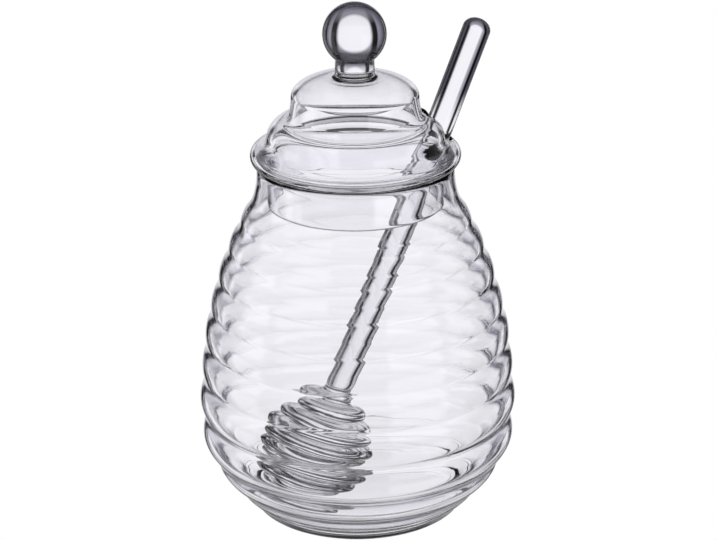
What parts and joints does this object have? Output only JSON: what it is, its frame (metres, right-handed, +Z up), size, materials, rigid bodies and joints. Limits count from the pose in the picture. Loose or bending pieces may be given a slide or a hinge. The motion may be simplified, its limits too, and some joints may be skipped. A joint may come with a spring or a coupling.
{
  "type": "glass honey jar with lid and dipper",
  "caption": "Empty beehive-shaped honey jar in clear ribbed glass, with a tiered ball-knob lid and a clear glass dipper leaning out through a hole in the back of the lid.",
  "frame": {"origin": "middle of the jar's flat base, on the jar's turning axis", "axes": "+Z up along the jar's axis; the dipper leans out of the lid's hole on the +X side, turned towards +Y"},
  "size_m": [0.0978, 0.0978, 0.1601],
  "materials": {
    "clear_glass": "polished",
    "rod_glass": "polished"
  },
  "bodies": {
    "root": {"jar": "clear_glass", "lid": "clear_glass", "dipper": "rod_glass"}
  },
  "joints": []
}
